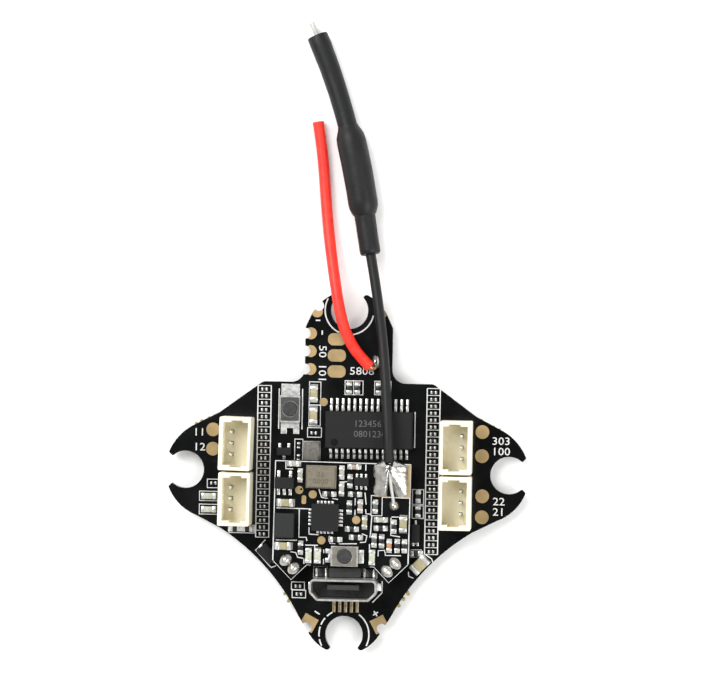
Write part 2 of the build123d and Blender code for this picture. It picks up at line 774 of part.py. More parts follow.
coil_size = (2.1, 2.7, 1.0)
with BuildPart() as power_inductor:
    with Locations(on_stack(-6.27, -1.42)):
        Box(*coil_size, align=body_align)
    chamfer(power_inductor.edges().group_by(Axis.Z)[-1], 0.1)
save(power_inductor, "power_inductor")

# ---------------------------------------------------------------- antenna cable
cable_diameter = 1.13
core_diameter = 0.66
braid_gap = 0.02
shrink_low_diameter = 2.4
shrink_middle_diameter = 3.4
shrink_top_diameter = 2.4
brass_outer = 2.45
brass_inner = cable_diameter + 2 * fit_gap

# The centre line, from the solder joint over the display chip and the rear horn to the tip.
cable_points = [
    (4.85, 1.3, 4.66),
    (4.72, 3.5, 4.66),
    (4.52, 6.5, 4.32),
    (4.27, 10.0, 3.78),
    (3.87, 14.2, 3.14),
    (3.3, 18.4, 2.66),
    (2.62, 22.3, 2.14),
    (1.95, 25.8, 1.77),
    (1.35, 29.7, 1.66),
    (0.55, 34.0, 1.64),
    (-0.6, 38.7, 1.52),
    (-2.05, 43.3, 1.18),
    (-3.65, 47.4, 1.08),
    (-4.85, 50.1, 1.05),
]
wire_diameter = 1.26
# The centre line of the receiver wire, from its solder pad over the rear notch to its cut end.
wire_points = [
    (2.45, 11.75, 2.62),
    (1.35, 12.85, 2.76),
    (0.35, 14.2, 2.86),
    (-0.5, 15.95, 2.86),
    (-1.05, 18.0, 2.78),
    (-1.5, 20.4, 2.52),
    (-2.0, 23.3, 1.9),
    (-2.5, 26.6, 1.22),
    (-2.9, 30.2, 0.78),
    (-3.2, 33.8, 0.66),
    (-3.55, 36.6, 0.66),
    (-3.95, 39.0, 0.66),
]


def corner_radii(points):
    """The largest tangent arc at each corner: 0.45 of the shorter run over tan(half the turn)."""
    radii = []
    for before, corner, after in zip(points, points[1:], points[2:]):
        arriving = Vector(*corner) - Vector(*before)
        leaving = Vector(*after) - Vector(*corner)
        turn = arriving.get_angle(leaving)
        shorter = min(arriving.length, leaving.length)
        radii.append(0.45 * shorter / tan(radians(turn / 2)))
    return radii


def route(points, name):
    """A line of straight runs joined by tangent arcs. Prints its radii and its length."""
    radii = corner_radii(points)
    with BuildLine() as line:
        FilletPolyline(*points, radius=radii)
    print(name, "radii", [round(radius, 1) for radius in radii], "length", round(line.wire().length, 2))
    return line.wire()


def tube(path, outer, inner=0.0):
    """A round tube, or a rod where inner is 0, along a path."""
    start = Plane(origin=path @ 0, z_dir=path % 0)
    with BuildPart() as swept:
        with BuildLine():
            add(path)
        with BuildSketch(start):
            Circle(outer / 2)
            if inner:
                Circle(inner / 2, mode=Mode.SUBTRACT)
        sweep()
    return swept


def share(path, y):
    """How far along a path, from 0 to 1, a height y is reached."""
    low, high = 0.0, 1.0
    for _ in range(30):
        middle = (low + high) / 2
        low, high = (middle, high) if (path @ middle).Y < y else (low, middle)
    return (low + high) / 2


cable_route = route(cable_points, "antenna cable")
jacket_end = share(cable_route, 38.2)
jacket_bore = core_diameter + 2 * braid_gap
save(tube(cable_route.trim(0, jacket_end), cable_diameter, jacket_bore), "antenna_cable_jacket")

low_start, low_end_y, middle_end_y, top_end_y = 24.25, 28.6, 38.6, 48.65
sleeves = {
    "antenna_sleeve_lower": (low_start, low_end_y, shrink_low_diameter, cable_diameter + 2 * fit_gap),
    "antenna_sleeve_middle": (low_end_y, middle_end_y, shrink_middle_diameter, brass_outer + 2 * fit_gap),
    "antenna_brass_sleeve": (low_end_y + 0.3, middle_end_y - 0.6, brass_outer, brass_inner),
    "antenna_sleeve_upper": (middle_end_y, top_end_y, shrink_top_diameter, core_diameter + 2 * fit_gap),
}
for name, (start_y, end_y, outer, inner) in sleeves.items():
    stretch = cable_route.trim(share(cable_route, start_y), share(cable_route, end_y))
    save(tube(stretch, outer, inner), name)

# The core runs the whole way, and its bare end bends down to a pad of its own.
bare_wire_diameter = 0.3
core_landing = on_stack(*core_pad).position + Vector(0, 0, 0.28)
bare_points = [
    Vector(*cable_points[0]) - Vector(0, -0.1, 0),
    Vector(4.95, 0.2, 4.66),
    Vector(5.25, -1.4, 4.6),
    core_landing,
]
with BuildPart() as antenna_cable_core:
    with BuildLine():
        add(cable_route)
    with BuildSketch(Plane(origin=cable_route @ 0, z_dir=cable_route % 0)):
        Circle(core_diameter / 2)
    sweep()
    with BuildLine() as bare_line:
        FilletPolyline(*bare_points, radius=corner_radii([tuple(point) for point in bare_points]))
    bare_wire = bare_line.wire()
    with BuildSketch(Plane(origin=bare_wire @ 0, z_dir=bare_wire % 0)):
        Circle(bare_wire_diameter / 2)
    sweep(path=bare_wire)
save(antenna_cable_core, "antenna_cable_core")

# Solder: the braid's large joint on the ground pad, and the core's small one.
joint_height = 1.3
with BuildPart() as antenna_solder:
    with BuildSketch(stack_plane.offset(stack_top + pad_thickness)):
        with BuildLine():
            Polyline(
                (3.65, 2.6),
                (4.75, 2.6),
                (4.95, 3.7),
                (5.85, 3.7),
                (6.0, 2.3),
                (7.4, 2.3),
                (7.45, 5.6),
                (5.7, 5.8),
                (4.3, 5.75),
                (3.6, 5.2),
                close=True,
            )
        make_face()
    extrude(amount=joint_height, taper=12)
    joint_plane = Plane(on_stack(*core_pad) * Location((0, 0, pad_thickness)))
    with BuildSketch(joint_plane):
        Circle(0.56)
    with BuildSketch(joint_plane.offset(0.5)):
        Circle(0.3)
    loft()
    add(antenna_cable_core.part, mode=Mode.SUBTRACT)
save(antenna_solder, "antenna_solder")

# ---------------------------------------------------------------- receiver wire
wire_route = route(wire_points, "receiver wire")
conductor_diameter = 0.62
receiver_wire_insulation = tube(wire_route, wire_diameter, conductor_diameter + 2 * braid_gap)
save(receiver_wire_insulation, "receiver_wire_insulation")

# The stripped strands leave the insulation and dip into the solder on the pad.
strand_points = [(2.15, 12.05, 2.66), (2.62, 11.6, 2.56), (2.98, 11.74, 2.05)]
with BuildPart() as receiver_wire_conductor:
    with BuildLine():
        add(wire_route.trim(0, share(wire_route, 38.6)))
    with BuildSketch(Plane(origin=wire_route @ 0, z_dir=wire_route % 0)):
        Circle(conductor_diameter / 2)
    sweep()
    with BuildLine() as strand_line:
        FilletPolyline(*strand_points, radius=corner_radii(strand_points))
    strands = strand_line.wire()
    with BuildSketch(Plane(origin=strands @ 0, z_dir=strands % 0)):
        Circle(0.24)
    sweep(path=strands)
save(receiver_wire_conductor, "receiver_wire_conductor")

pad_plane = Plane((*wire_pad, board_top + pad_thickness))
with BuildPart() as receiver_wire_solder:
    with BuildSketch(pad_plane):
        Ellipse(0.5, 0.8)
    with BuildSketch(pad_plane.offset(0.62)):
        Ellipse(0.26, 0.5)
    loft()
    add(receiver_wire_conductor.part, mode=Mode.SUBTRACT)
    add(receiver_wire_insulation.part, mode=Mode.SUBTRACT)
save(receiver_wire_solder, "receiver_wire_solder")

# ---------------------------------------------------------------- underside
mosfet_side = 3.0
mosfet_places = [(side * 12.2, y) for side in (-1, 1) for y in (-5.1, -1.7, 1.7, 5.1)]
mosfet_places += [(side * 8.6, y) for side in (-1, 1) for y in (-4.95, 4.95)]
driver_places = [(side * 8.6, y) for side in (-1, 1) for y in (-1.65, 1.65)]
processor_side = 7.0
processor_place = under_main(0, 2.6)
gyro_size = (3.0, 2.5, 0.8)
gyro_place = under_main(0, -4.2)

with BuildPart() as motor_mosfets:
    with Locations(*[under_main(x, y) for x, y in mosfet_places]):
        Box(mosfet_side, mosfet_side, underside_height, align=body_align)
save(motor_mosfets, "motor_mosfets")

with BuildPart() as motor_drivers:
    with Locations(*[under_main(x, y) for x, y in driver_places]):
        Box(3.0, 3.0, 0.75, align=body_align)
save(motor_drivers, "motor_drivers")

with BuildPart() as flight_processor:
    with Locations(processor_place):
        Box(processor_side, processor_side, 0.75, align=body_align)
save(flight_processor, "flight_processor")

with BuildPart() as gyro_sensor:
    with Locations(gyro_place):
        Box(*gyro_size, align=body_align)
save(gyro_sensor, "gyro_sensor")

receiver_chip_place = under_main(-3.0, -8.6)
memory_chip_place = under_main(3.0, -8.6)
with BuildPart() as underside_chips:
    with Locations(receiver_chip_place):
        Box(4.0, 4.0, 0.75, align=body_align)
    with Locations(memory_chip_place):
        Box(4.0, 3.0, 0.6, align=body_align)
    with Locations(under_main(0, 12.0)):
        Box(2.5, 2.0, 0.8, align=body_align)
save(underside_chips, "underside_chips")

with BuildPart() as underside_leads:
    quad_rows = [
        (processor_place, processor_side / 2, [0.5 * (i - 5.5) for i in range(12)]),
        (receiver_chip_place, 2.0, [0.5 * (i - 2.5) for i in range(6)]),
    ]
    quad_rows += [(under_main(x, y), 1.5, [0.5 * (i - 1.5) for i in range(4)]) for x, y in driver_places]
    for chip_place, half_side, offsets in quad_rows:
        sides = {turn: offsets for turn in (0, 90, 180, 270)}
        with Locations(*lead_places(chip_place, half_side, sides, sides)):
            Box(0.14, 0.24, 0.1, align=(Align.MIN, Align.CENTER, Align.MIN))
    paired_rows = [
        (memory_chip_place, 2.0, (-0.9, -0.3, 0.3, 0.9)),
        (gyro_place, 1.5, (-0.75, -0.25, 0.25, 0.75)),
    ]
    for chip_place, half_side, offsets in paired_rows:
        sides = {0: offsets, 180: offsets}
        with Locations(*lead_places(chip_place, half_side, sides, sides)):
            Box(0.16, 0.3, 0.1, align=(Align.MIN, Align.CENTER, Align.MIN))
save(underside_leads, "underside_leads")

underside_capacitor_places = [(under_main(x, 7.4), "0402") for x in (-3.6, -1.8, 0, 1.8, 3.6)]
underside_capacitor_places += [
    (under_main(side * 5.2, y, 90), "0402") for side in (-1, 1) for y in (-3.5, 0, 3.0)
]
underside_capacitor_places += [(under_main(side * 2.6, 14.4, 90), "0603") for side in (-1, 1)]
save(chip_bodies(underside_capacitor_places), "underside_capacitors")
save(chip_ends(underside_capacitor_places), "underside_chip_ends")
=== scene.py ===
from math import atan2, cos, pi, radians, sin, sqrt

import bmesh
import bpy
from mathutils import Matrix, Vector


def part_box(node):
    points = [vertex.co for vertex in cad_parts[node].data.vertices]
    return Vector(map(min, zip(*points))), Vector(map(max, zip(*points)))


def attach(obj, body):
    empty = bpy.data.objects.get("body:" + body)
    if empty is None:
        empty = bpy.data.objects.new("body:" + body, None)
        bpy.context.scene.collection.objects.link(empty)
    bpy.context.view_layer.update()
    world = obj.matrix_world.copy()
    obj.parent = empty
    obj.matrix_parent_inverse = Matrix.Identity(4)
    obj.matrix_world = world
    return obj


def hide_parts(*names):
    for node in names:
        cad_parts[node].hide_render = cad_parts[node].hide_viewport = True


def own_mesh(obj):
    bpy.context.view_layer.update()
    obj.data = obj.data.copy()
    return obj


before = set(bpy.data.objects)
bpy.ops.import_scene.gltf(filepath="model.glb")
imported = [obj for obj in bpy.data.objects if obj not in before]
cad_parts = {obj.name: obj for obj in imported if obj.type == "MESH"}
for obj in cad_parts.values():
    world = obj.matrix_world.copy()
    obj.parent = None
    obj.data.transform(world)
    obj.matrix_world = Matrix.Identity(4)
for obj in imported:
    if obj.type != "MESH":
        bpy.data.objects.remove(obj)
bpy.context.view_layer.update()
mm = 0.001

# ---------------------------------------------------------------- camera, light and floor
# The board lies on a pale sheet under a broad soft light. The camera hangs far above it, a little
# to the right, so that the right-hand walls of tall parts just show.
board_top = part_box("main_board")[1].z
aim = Vector((1.05 * mm, 14.8 * mm, board_top))
eye = Vector((24.5 * mm, 15.0 * mm, board_top + 385 * mm))
roll = radians(1.0)

camera_data = bpy.data.cameras.new("camera")
camera_data.sensor_width = 36
camera_data.lens = 174.2
camera_data.clip_start = 0.01
camera = bpy.data.objects.new("camera", camera_data)
bpy.context.scene.collection.objects.link(camera)
look = (eye - aim).normalized()
right = (Vector((cos(roll), sin(roll), 0)) - look * look.dot(Vector((cos(roll), sin(roll), 0)))).normalized()
up = look.cross(right)
camera.matrix_world = Matrix.Translation(eye) @ Matrix((right, up, look)).transposed().to_4x4()
bpy.context.scene.camera = camera


def linear(code):
    """Linear red, green, blue and alpha from an sRGB hex code."""
    shades = [int(code[i:i + 2], 16) / 255 for i in (1, 3, 5)]
    return [s / 12.92 if s <= 0.04045 else ((s + 0.055) / 1.055) ** 2.4 for s in shades] + [1.0]


def add_node(tree, kind, inputs=None, **settings):
    """One shader node, with its settings, and its inputs set or linked."""
    node = tree.nodes.new(kind)
    for key, value in settings.items():
        setattr(node, key, value)
    for key, value in (inputs or {}).items():
        if isinstance(value, bpy.types.NodeSocket):
            tree.links.new(value, node.inputs[key])
        else:
            node.inputs[key].default_value = value
    return node


def make_finish(name, colour, second, roughness, spread, grain, depth=0.0, **shader_values):
    """A finish with two close colours in a grain of that size in mm, and pits of that depth in mm."""
    material = bpy.data.materials.new(name)
    material.use_nodes = True
    tree = material.node_tree
    shader = tree.nodes["Principled BSDF"]
    place = add_node(tree, "ShaderNodeTexCoord")
    noise = {"Vector": place.outputs["Object"], "Scale": 1 / (grain * mm), "Detail": 3.0, "Roughness": 0.6}
    speckle = add_node(tree, "ShaderNodeTexNoise", noise)
    tone = add_node(tree, "ShaderNodeValToRGB", {"Fac": speckle.outputs["Fac"]})
    tone.color_ramp.elements[0].position = 0.35
    tone.color_ramp.elements[0].color = linear(colour)
    tone.color_ramp.elements[1].position = 0.65
    tone.color_ramp.elements[1].color = linear(second)
    tree.links.new(tone.outputs["Color"], shader.inputs["Base Color"])
    levels = {"Value": speckle.outputs["Fac"], "From Min": 0.3, "From Max": 0.7}
    levels.update({"To Min": max(0.02, roughness - spread), "To Max": min(1.0, roughness + spread)})
    dullness = add_node(tree, "ShaderNodeMapRange", levels)
    tree.links.new(dullness.outputs["Result"], shader.inputs["Roughness"])
    if depth:
        relief = {"Height": speckle.outputs["Fac"], "Distance": depth * mm, "Strength": 1.0}
        bump = add_node(tree, "ShaderNodeBump", relief)
        tree.links.new(bump.outputs["Normal"], shader.inputs["Normal"])
    for key, value in shader_values.items():
        shader.inputs[key.replace("_", " ")].default_value = value
    return material


def new_piece(name, bm, material, body="board", smooth=35):
    """An object from a bmesh, with its finish, riding on a body."""
    mesh = bpy.data.meshes.new(name)
    bmesh.ops.recalc_face_normals(bm, faces=bm.faces)
    bm.to_mesh(mesh)
    bm.free()
    mesh.polygons.foreach_set("use_smooth", [True] * len(mesh.polygons))
    mesh.set_sharp_from_angle(angle=radians(smooth))
    piece = bpy.data.objects.new(name, mesh)
    bpy.context.scene.collection.objects.link(piece)
    for each in material if isinstance(material, list) else [material]:
        mesh.materials.append(each)
    if body:
        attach(piece, body)
    return piece


floor_bm = bmesh.new()
bmesh.ops.create_grid(floor_bm, x_segments=1, y_segments=1, size=0.8)
paper = make_finish("white_paper_sweep", "#f7f7f6", "#fafaf9", 0.85, 0.03, 1.0)
floor = new_piece("floor", floor_bm, paper, body=None)

world = bpy.data.worlds.new("soft_room")
bpy.context.scene.world = world
world.use_nodes = True
# The room is bright at its sides and dim overhead, so flat gloss stays black and slopes light up.
sky = world.node_tree
sky_shader = sky.nodes["Background"]
sky_shader.inputs["Color"].default_value = linear("#ffffff")
heading = add_node(sky, "ShaderNodeTexCoord")
height = add_node(sky, "ShaderNodeSeparateXYZ", {"Vector": heading.outputs["Generated"]})
dimming = {"Value": height.outputs["Z"], "From Min": 0.8, "From Max": 0.97, "To Min": 0.8, "To Max": 0.08}
overhead = add_node(sky, "ShaderNodeMapRange", dimming, interpolation_type="SMOOTHSTEP")
sky.links.new(overhead.outputs["Result"], sky_shader.inputs["Strength"])
soft_boxes = [
    ("key_light", (-0.28, 0.30, 0.55), 0.46, 4.6),
    ("fill_light", (0.42, -0.20, 0.50), 0.50, 3.0),
]
for name, spot, width, power in soft_boxes:
    lamp = bpy.data.lights.new(name, "AREA")
    lamp.shape = "SQUARE"
    lamp.size = width
    lamp.energy = power
    light = bpy.data.objects.new(name, lamp)
    bpy.context.scene.collection.objects.link(light)
    light.location = spot
    light.rotation_euler = (aim - Vector(spot)).to_track_quat("-Z", "Y").to_euler()
bpy.context.scene.view_settings.view_transform = "Standard"
bpy.context.scene.view_settings.look = "None"

# ---------------------------------------------------------------- antenna cable and its sleeves
# A thin coaxial cable: silvered core, plastic, braid and a black jacket, crimped into a brass tube
# and covered by three lengths of heat-shrink that were drawn down with hot air.
# Satin polyolefin: nearly black, with broad soft highlights and faint ripples from the shrinking.
shrink_black = make_finish(
    "shrunk_polyolefin", "#050606", "#0a0b0c", 0.5, 0.07, 1.3, 0.07, Specular_IOR_Level=0.35
)
# Fluoropolymer: a smoother, harder black.
jacket_black = make_finish(
    "black_fluoropolymer_jacket", "#060707", "#0b0c0d", 0.5, 0.05, 0.8, 0.008, Specular_IOR_Level=0.35
)
# Silvered copper: bright but drawn, so slightly dull.
silvered_copper = make_finish("silvered_copper_wire", "#b4b4b0", "#c8c8c4", 0.5, 0.08, 0.3, 0.004, Metallic=0.4)

cable_diameter = 1.13 * mm
cable_points = [
    (4.85, 1.3, 4.66),
    (4.72, 3.5, 4.66),
    (4.52, 6.5, 4.32),
    (4.27, 10.0, 3.78),
    (3.87, 14.2, 3.14),
    (3.3, 18.4, 2.66),
    (2.62, 22.3, 2.14),
    (1.95, 25.8, 1.77),
    (1.35, 29.7, 1.66),
    (0.55, 34.0, 1.64),
    (-0.6, 38.7, 1.52),
    (-2.05, 43.3, 1.18),
    (-3.65, 47.4, 1.08),
    (-4.85, 50.1, 1.05),
]
cable_line = [Vector(point) * mm for point in cable_points]


def new_cord(name, line, diameter, material):
    """A free cord as one open spline that follows its control points."""
    data = bpy.data.curves.new(name, "CURVE")
    data.dimensions = "3D"
    data.bevel_depth = diameter / 2
    data.bevel_resolution = 6
    data.resolution_u = 12
    data.use_fill_caps = True
    spline = data.splines.new("NURBS")
    spline.points.add(len(line) - 1)
    for point, spot in zip(spline.points, line):
        point.co = (*spot, 1.0)
    spline.order_u = 3
    spline.use_endpoint_u = True
    data.materials.append(material)
    cord = bpy.data.objects.new(name, data)
    bpy.context.scene.collection.objects.link(cord)
    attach(cord, "board")
    return cord


def along(line, y):
    """The place and heading on a cord's smooth line where it reaches y."""
    knees = [line[0]] + [(a + b) / 2 for a, b in zip(line[1:-2], line[2:-1])] + [line[-1]]
    for start, knee, end in zip(knees, line[1:-1], knees[1:]):
        if start.y <= y <= end.y:
            low, high = 0.0, 1.0
            for _ in range(30):
                t = (low + high) / 2
                place = start * (1 - t) ** 2 + knee * 2 * t * (1 - t) + end * t * t
                low, high = (t, high) if place.y < y else (low, t)
            return place, ((knee - start) * (1 - t) + (end - knee) * t).normalized()
    return line[-1], (line[-1] - line[-2]).normalized()


def turned_sleeve(name, line, profile, material, around=28):
    """A closed sleeve round a cord's line. The profile lists (y in mm, radius in mm) from end to end."""
    bm = bmesh.new()
    rings = []
    for y, radius in profile:
        place, heading = along(line, y * mm)
        turn = heading.to_track_quat("Z", "Y").to_matrix().to_4x4()
        seat = Matrix.Translation(place) @ turn
        ring = bmesh.ops.create_circle(bm, segments=around, radius=radius * mm, matrix=seat)
        rings.append(ring["verts"])
    for lower, upper in zip(rings, rings[1:]):
        edges = [e for e in bm.edges if all(v in lower for v in e.verts) or all(v in upper for v in e.verts)]
        bmesh.ops.bridge_loops(bm, edges=edges)
    for ring in (rings[0], rings[-1]):
        bmesh.ops.contextual_create(bm, geom=ring)
    return new_piece(name, bm, material, smooth=50)


jacket_end_y = 38.2
jacket_line = [spot for spot in cable_line if spot.y < 38.0 * mm] + [along(cable_line, jacket_end_y * mm)[0]]
antenna_cable = new_cord("antenna_cable_jacket", jacket_line, cable_diameter, jacket_black)
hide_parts("antenna_cable_jacket")

lower_profile = [
    (24.3, 0.68), (24.3, 1.02), (24.42, 1.12), (24.8, 1.16), (26.2, 1.15), (27.6, 1.16), (28.7, 1.18),
    (28.75, 0.9),
]
sleeve_lower = turned_sleeve("antenna_sleeve_lower", cable_line, lower_profile, shrink_black)
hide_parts("antenna_sleeve_lower")

middle_profile = [
    (28.62, 0.95), (28.62, 1.19), (28.75, 1.3), (29.1, 1.46), (29.5, 1.6), (30.1, 1.66), (31.5, 1.65),
    (33.2, 1.67), (35.0, 1.66), (36.6, 1.66), (37.4, 1.58), (37.9, 1.38), (38.25, 1.2), (38.5, 1.13),
    (38.58, 1.1), (38.58, 0.8),
]
sleeve_middle = turned_sleeve("antenna_sleeve_middle", cable_line, middle_profile, shrink_black)
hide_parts("antenna_sleeve_middle")

upper_profile = [
    (38.55, 0.8), (38.6, 1.08), (40.0, 1.08), (42.4, 1.1), (45.0, 1.13), (47.4, 1.18), (48.5, 1.17),
    (48.6, 1.1), (48.6, 0.36),
]
sleeve_upper = turned_sleeve("antenna_sleeve_upper", cable_line, upper_profile, shrink_black)
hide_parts("antenna_sleeve_upper")

tip_profile = [(48.4, 0.29), (49.2, 0.3), (49.9, 0.31), (50.05, 0.27), (50.08, 0.1)]
antenna_core = turned_sleeve("antenna_cable_core", cable_line, tip_profile, silvered_copper, around=16)
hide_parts("antenna_cable_core")


def paint_node(node, material):
    """A finish on a CAD node that is shown as it is."""
    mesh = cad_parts[node].data
    mesh.materials.clear()
    mesh.materials.append(material)


# Turned brass: warm yellow metal, barely seen between the sleeves.
brass = make_finish("gold_plated_pin", "#c9a45a", "#dcbc78", 0.3, 0.06, 0.3, Metallic=1.0)
paint_node("antenna_brass_sleeve", brass)

# The core's other end: white plastic, then the bare wire that bends down to its own pad.
bare_points = [(4.86, 1.2, 4.62), (4.95, 0.2, 4.68), (5.1, -1.3, 4.72), (5.33, -2.6, 4.58), (5.42, -3.42, 4.2)]
bare_line = [Vector(point) * mm for point in bare_points]
bare_end = new_cord("antenna_cable_core_end", bare_line, 0.34 * mm, silvered_copper)

# ---------------------------------------------------------------- receiver wire
# A stranded copper wire in soft red silicone, cut flat at its free end and soldered to the neck.
# Silicone: saturated, slightly cloudy red with a soft sheen.
red_silicone = make_finish(
    "red_silicone", "#df1f10", "#e9321f", 0.45, 0.05, 1.2, 0.01, Subsurface_Weight=0.15, Subsurface_Scale=0.0006
)
# Tinned strands: coppery pink where the tin has worn through.
bare_copper = make_finish("tinned_copper_strands", "#c98a5a", "#e0b48c", 0.35, 0.1, 0.1, 0.01, Metallic=1.0)
wire_diameter = 1.26 * mm
wire_points = [
    (2.45, 11.75, 2.62),
    (1.35, 12.85, 2.76),
    (0.35, 14.2, 2.86),
    (-0.5, 15.95, 2.86),
    (-1.05, 18.0, 2.78),
    (-1.5, 20.4, 2.52),
    (-2.0, 23.3, 1.9),
    (-2.5, 26.6, 1.22),
    (-2.9, 30.2, 0.78),
    (-3.2, 33.8, 0.66),
    (-3.55, 36.6, 0.66),
    (-3.95, 39.0, 0.66),
]
wire_line = [Vector(point) * mm for point in wire_points]
receiver_wire = new_cord("receiver_wire_insulation", wire_line, wire_diameter, red_silicone)
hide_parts("receiver_wire_insulation")
strand_points = [(2.25, 11.95, 2.62), (2.62, 11.62, 2.56), (2.9, 11.6, 2.3), (2.98, 11.74, 2.05)]
strand_line = [Vector(point) * mm for point in strand_points]
strands = new_cord("receiver_wire_conductor", strand_line, 0.46 * mm, bare_copper)
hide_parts("receiver_wire_conductor")

# ---------------------------------------------------------------- main board
# A four-layer glass epoxy board with a glossy black mask, cut with four round notches for grommets.
# Solder mask: almost black and glossy, a shade lighter over copper in broad, soft-edged pours.
black_mask = make_finish("black_solder_mask", "#060707", "#0b0c0c", 0.2, 0.04, 3.5, 0.01, Specular_IOR_Level=0.35)


def finished_copy(node, width, material, body="board", segments=2, smooth=40, name=None):
    """A copy of a CAD node with its sharp edges rounded by that width in mm."""
    bm = bmesh.new()
    bm.from_mesh(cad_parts[node].data)
    bmesh.ops.remove_doubles(bm, verts=bm.verts, dist=0.002 * mm)
    bmesh.ops.dissolve_limit(bm, angle_limit=radians(2), verts=bm.verts, edges=bm.edges)
    sharp = [e for e in bm.edges if e.is_manifold and e.calc_face_angle(0) > radians(28)]
    bmesh.ops.bevel(
        bm, geom=sharp, offset=width * mm, offset_type="OFFSET", segments=segments,
        profile=0.5, affect="EDGES", material=-1, clamp_overlap=True,
    )
    piece = new_piece(name or node, bm, material, body, smooth)
    piece.modifiers.new("flat_faces", "WEIGHTED_NORMAL").keep_sharp = True
    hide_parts(node)
    return piece


paint_node("main_board", black_mask)

# Immersion gold over copper: soft satin tan, never mirror-like.
plated_gold = make_finish("immersion_gold", "#96835c", "#ad9268", 0.45, 0.06, 2.2, 0.004, Metallic=0.5)
paint_node("main_board_pads", plated_gold)
paint_node("transmitter_pads", plated_gold)

# Snapped tabs of raw glass epoxy, left where each board was broken out of its panel.
raw_epoxy = make_finish("raw_glass_epoxy", "#7d7440", "#a39552", 0.7, 0.1, 0.15, 0.02)
tab_spots = [
    (-17.1, 5.12), (-16.4, 5.45), (-15.72, 5.76), (-15.05, 6.1), (14.95, 6.12), (16.3, 5.45), (17.1, 5.1),
    (-6.75, -13.85), (-6.3, -14.55), (7.1, -13.5), (6.65, -14.2), (6.1, -14.9),
]
tab_sink = 0.985  # the crumbs are broken off partly inside the outline
tab_middle_height = board_top - 0.5 * mm
tabs_bm = bmesh.new()
for index, (x, y) in enumerate(tab_spots):
    slant = Matrix.Rotation(atan2(y, x) - 0.25 + 0.5 * sin(2.4 * index), 4, "Z")
    place = Matrix.Translation((x * tab_sink * mm, y * tab_sink * mm, tab_middle_height)) @ slant
    length = 0.5 + 0.14 * sin(1.7 * index)
    crumb = Matrix.Diagonal((length * mm, 0.32 * mm, 0.8 * mm, 1))
    bmesh.ops.create_cube(tabs_bm, size=1, matrix=place @ crumb)
bmesh.ops.bevel(
    tabs_bm, geom=tabs_bm.edges[:], offset=0.08 * mm, segments=2, profile=0.5, affect="EDGES", material=-1
)
new_piece("snapped_tabs", tabs_bm, raw_epoxy)

# ---------------------------------------------------------------- printing on the main board
# White epoxy ink, screened on before the parts: frames round the parts, marks and pad numbers.
# It lies as a thin matte film with slightly soft edges.
white_ink = make_finish("white_screen_ink", "#bfc0be", "#d6d7d5", 0.6, 0.05, 0.12, 0.003)
ink_height = 0.02 * mm
line_width = 0.13


def print_lines(name, paths, top, width=line_width):
    """Printed lines along paths in mm: round-ended beads of ink, pressed flat on a face."""
    data = bpy.data.curves.new(name, "CURVE")
    data.dimensions = "3D"
    data.bevel_depth = width / 2 * mm
    data.bevel_resolution = 2
    data.use_fill_caps = True
    for path in paths:
        spline = data.splines.new("POLY")
        spline.points.add(len(path) - 1)
        for point, (x, y) in zip(spline.points, path):
            point.co = (x * mm, y * mm, 0, 1)
        if path[0] == path[-1] and len(path) > 3:
            spline.use_cyclic_u = True
    pressed_flat = Matrix.Diagonal((1, 1, ink_height / (width * mm), 1))
    return lay_print(name, data, Matrix.Translation((0, 0, top)) @ pressed_flat)


def lay_print(name, data, place, ink=None):
    """The mesh of a flat curve or of figures, put in its place on the board."""
    drawn = bpy.data.objects.new(name, data)
    bpy.context.scene.collection.objects.link(drawn)
    bpy.context.view_layer.update()
    mesh = bpy.data.meshes.new_from_object(drawn.evaluated_get(bpy.context.evaluated_depsgraph_get()))
    bpy.data.objects.remove(drawn)
    mesh.transform(place)
    mesh.materials.clear()
    mesh.materials.append(ink or white_ink)
    piece = bpy.data.objects.new(name, mesh)
    bpy.context.scene.collection.objects.link(piece)
    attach(piece, "board")
    return piece


def box_path(x0, x1, y0, y1):
    return [(x0, y0), (x1, y0), (x1, y1), (x0, y1), (x0, y0)]


def arc_path(cx, cy, radius, start, end, steps=14):
    angles = [radians(start + (end - start) * i / steps) for i in range(steps + 1)]
    return [(cx + radius * cos(a), cy + radius * sin(a)) for a in angles]


ladder_pitch = 0.768
thin_paths = []
line_paths = []
for left, right_edge, rows in ((-10.05, -8.58, 22), (8.8, 10.25, 24)):
    low = 9.5 - ladder_pitch * rows
    line_paths += [[(left, 9.5), (left, low)], [(right_edge, 9.5), (right_edge, low)]]
    for row in range(rows + 1):
        y = 9.5 - ladder_pitch * row
        thin_paths.append([(left, y), (right_edge, y)])
frames = [
    (-4.32, -3.05, 5.1, 10.0), (-4.45, -2.9, 3.85, 4.9), (-5.85, -4.95, 1.15, 3.6), (-0.35, 1.65, 8.65, 10.2),
    (2.95, 4.75, 8.7, 10.2), (-15.55, -14.2, -2.0, -1.05), (-16.4, -14.25, -3.45, -2.4),
    (-16.4, -14.25, -4.95, -3.85),
    (-13.05, -10.15, -6.95, -6.1), (-5.95, -4.5, -13.15, -12.3), (-5.85, -4.35, -14.05, -13.2),
    (7.35, 8.6, -3.4, -1.75), (7.35, 8.6, -4.95, -3.55), (7.3, 8.45, -9.25, -8.45),
    (-3.5, -2.0, -11.7, -10.5), (2.05, 3.55, -11.7, -10.5),
]
line_paths += [box_path(*frame_box) for frame_box in frames]
